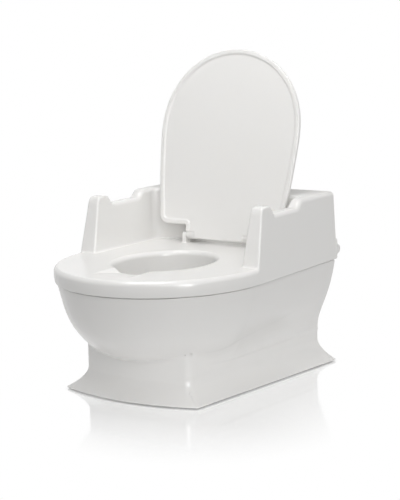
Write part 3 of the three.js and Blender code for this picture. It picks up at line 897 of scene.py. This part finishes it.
# height above the floor, radius: pad, stem, and head above the plate
FOOT_PROFILE = [
    (0, 6.9), (0.15, 7.6), (0.6, 8.0), (1.0, 7.9), (1.2, 7.4), (1.22, 2.7), (5.4, 2.7),
    (5.45, 3.6), (5.8, 4.0), (7.0, 3.4), (7.4, 2.6),
]
for end, (foot_x, foot_y) in FEET.items():
    for side, sign in (("left", -1), ("right", 1)):
        name = f"foot_{end}_{side}"
        foot = turned(name + "_pad", FOOT_PROFILE, (sign * foot_x, foot_y, 0), (0, 0, 1))
        hand_over(foot, "foot_rubber", "base", name)

# ---------------------------------------------------------------- stage (metres)
# brightness of the floor as seen directly, in reflections, and as it lights the pieces
FLOOR_CAMERA, FLOOR_GLOSSY, FLOOR_DIFFUSE = 1.0, 0.94, 0.475
WORLD_SEEN = 1.0
# light from the surroundings, evenly ("0") and by side
WORLD = {"0": 0.0, "+x": 0.445, "-x": 0.095, "+y": 0.08, "-y": 0.164, "+z": 0.448}
# direction of the camera, in degrees: round from the front to the right, and up
CAMERA_AZIMUTH, CAMERA_ELEVATION = 32.089, 9.517
# the far side can be dimmed in reflections: cosines where it starts and ends, and amount
DIM_FROM, DIM_TO, DIM = 0.91, 0.99, 0.0


def polar(azimuth, elevation, radius):
    """place at angles in degrees, measured like the camera's"""
    a, e = math.radians(azimuth), math.radians(elevation)
    return (radius * math.sin(a) * math.cos(e), -radius * math.cos(a) * math.cos(e),
            radius * math.sin(e))


TO_CAMERA = Vector(polar(CAMERA_AZIMUTH, CAMERA_ELEVATION, 1))


def dimmed(tree, direction, sign):
    """level left for a reflected ray that runs away from the camera's side"""
    facing = node(tree, "VectorMath", {0: direction, 1: TO_CAMERA * sign},
                  operation="DOT_PRODUCT")
    return map_range(tree, facing.outputs["Value"], (DIM_FROM, DIM_TO), (1.0, 1.0 - DIM),
                     interpolation_type="SMOOTHSTEP")


def floor_material():
    """glowing white floor with a mirror image that fades away from the chair"""
    material = bpy.data.materials.new("floor_white")
    material.use_nodes = True
    tree = material.node_tree
    tree.nodes.clear()
    output = node(tree, "OutputMaterial")
    rays = node(tree, "LightPath").outputs
    geometry = node(tree, "NewGeometry").outputs
    glossy = calc(tree, "MULTIPLY", dimmed(tree, geometry["Incoming"], 1.0), FLOOR_GLOSSY)
    seen = calc(tree, "MULTIPLY_ADD", rays["Is Glossy Ray"], glossy, rays["Is Camera Ray"],
                clamp=True)
    diffuse = constant(tree, "f_diff", FLOOR_DIFFUSE)
    level = calc(tree, "MAXIMUM", calc(tree, "MULTIPLY", seen, FLOOR_CAMERA),
                 calc(tree, "MULTIPLY", calc(tree, "LESS_THAN", seen, 0.01), diffuse))
    # painted contact shadow: the floor's glow is darkened where a piece comes close to the floor
    contact_shadow = node(tree, "AmbientOcclusion", {"Distance": 0.006}, samples=8)
    shade = calc(tree, "MULTIPLY_ADD", contact_shadow.outputs["AO"], 0.62, 0.38)
    level = calc(tree, "MULTIPLY", level, shade)
    glow = node(tree, "Emission", {"Color": (1, 1, 1, 1), "Strength": level})
    mirror = node(tree, "BsdfGlossy", {"Roughness": 0.09, "Color": (1, 1, 1, 1)})
    # distance from a rectangle of these half sizes under the chair
    spot = node(tree, "SeparateXYZ", {0: geometry["Position"]})
    squares = []
    for k, half in ((0, 0.10), (1, 0.12)):
        beyond = calc(tree, "SUBTRACT", calc(tree, "ABSOLUTE", spot.outputs[k]), half)
        beyond = calc(tree, "MAXIMUM", beyond, 0.0)
        squares.append(calc(tree, "MULTIPLY", beyond, beyond))
    distance = calc(tree, "SQRT", calc(tree, "ADD", *squares))
    fade = map_range(tree, distance, (0.065, 0.212), (1.0, 0.0))
    share = calc(tree, "MULTIPLY", calc(tree, "POWER", fade, 1.4), 0.55)
    direct = calc(tree, "SUBTRACT", 1.0, rays["Is Glossy Ray"])
    mix = node(tree, "MixShader", {"Fac": calc(tree, "MULTIPLY", share, direct),
                                   1: glow.outputs[0], 2: mirror.outputs[0]})
    feed(tree, output, {"Surface": mix.outputs[0]})
    return material


def make_floor():
    half = 8.0
    mesh = bpy.data.meshes.new("floor")
    corners = [(-half, -half, 0), (half, -half, 0), (half, half, 0), (-half, half, 0)]
    mesh.from_pydata(corners, [], [(0, 1, 2, 3)])
    floor = link_object("floor", mesh)
    mesh.materials.append(floor_material())


def make_world(scene):
    """white where it is seen; lights the pieces by the levels in WORLD"""
    world = bpy.data.worlds.new("studio")
    scene.world = world
    world.use_nodes = True
    tree = world.node_tree
    rays = node(tree, "LightPath").outputs
    seen = calc(tree, "MAXIMUM", rays["Is Camera Ray"], rays["Is Glossy Ray"])
    direction = node(tree, "TexCoord").outputs["Generated"]
    parts = node(tree, "SeparateXYZ", {0: direction}).outputs
    total = None
    for key, value in WORLD.items():
        strength = constant(tree, "w_" + key, value)
        if key == "0":
            total = strength
            continue
        part = parts["xyz".index(key[1])]
        if key[0] == "-":
            part = calc(tree, "MULTIPLY", part, -1.0)
        part = calc(tree, "MAXIMUM", part, 0.0)
        total = calc(tree, "MULTIPLY_ADD", part, strength, total)
    unseen = calc(tree, "SUBTRACT", 1.0, seen)
    far = dimmed(tree, direction, -1.0)
    far = calc(tree, "MAXIMUM", far, rays["Is Camera Ray"])
    level = calc(tree, "MULTIPLY_ADD", seen, calc(tree, "MULTIPLY", far, WORLD_SEEN),
                 calc(tree, "MULTIPLY", unseen, total))
    feed(tree, tree.nodes["Background"], {"Color": (1, 1, 1, 1), "Strength": level})


def area(name, at, aim, width, radiance, height=None, diffuse=True):
    """soft box given by its radiance; diffuse=False makes it show only in reflections"""
    height = height or width
    data = bpy.data.lights.new(name, "AREA")
    data.shape = "RECTANGLE"
    data.size = width
    data.size_y = height
    data.energy = radiance * math.pi * width * height
    light = link_object(name, data)
    light.location = at
    light.rotation_euler = (Vector(aim) - Vector(at)).to_track_quat("-Z", "Y").to_euler()
    light.visible_camera = False
    light.visible_diffuse = diffuse
    return light


def make_lights():
    area("near_top", at=(0.0, -0.30, 0.95), aim=(0, 0.05, 0.25), width=0.45, radiance=2.85)
    area("top", at=(0.0, -0.25, 1.75), aim=(0, 0, 0.1), width=0.8, radiance=0.55)
    area("key", at=polar(45, 30, 2.2), aim=(0, 0, 0.15), width=1.0, radiance=2.75)
    area("near_right", at=(0.28, -0.15, 0.95), aim=(0, 0.05, 0.25), width=0.4, radiance=1.43)
    # a trace of light that leaks in behind the lower edge of the lid
    leak = area("leak", at=(0.0, 0.1065, 0.177), aim=(0.0, 0.1065, 0.1), width=0.074,
                height=0.010, radiance=1.0)
    leak.visible_glossy = False
    area("edge_box", at=polar(62, 14, 2.0), aim=(0, 0, 0.2), width=0.4, height=1.2,
         radiance=15.0, diffuse=False)
    area("rim_box", at=(0.1, -0.5, 1.9), aim=(0, 0, 0.1), width=0.9, height=0.5,
         radiance=8.5, diffuse=False)


def make_camera(scene):
    distance = 1648.521 * MM
    target = Vector((52.7079, -Y_MID, 180.8499)) * MM
    azimuth, roll = math.radians(CAMERA_AZIMUTH), math.radians(-0.836)
    level = Vector((math.cos(azimuth), math.sin(azimuth), 0))
    upright = TO_CAMERA.cross(level)
    right = level * math.cos(roll) + upright * math.sin(roll)
    up = -level * math.sin(roll) + upright * math.cos(roll)
    data = bpy.data.cameras.new("cam")
    camera = link_object("cam", data)
    matrix = Matrix((right, up, TO_CAMERA)).transposed().to_4x4()
    matrix.translation = target + TO_CAMERA * distance
    camera.matrix_world = matrix
    data.sensor_fit = "VERTICAL"
    data.sensor_height = 36
    data.lens = 93.5316
    data.clip_start = 0.05
    scene.camera = camera


scene = bpy.context.scene
make_floor()
make_world(scene)
make_lights()
make_camera(scene)
scene.view_settings.view_transform = "Standard"
scene.view_settings.look = "None"
scene.cycles.use_denoising = True
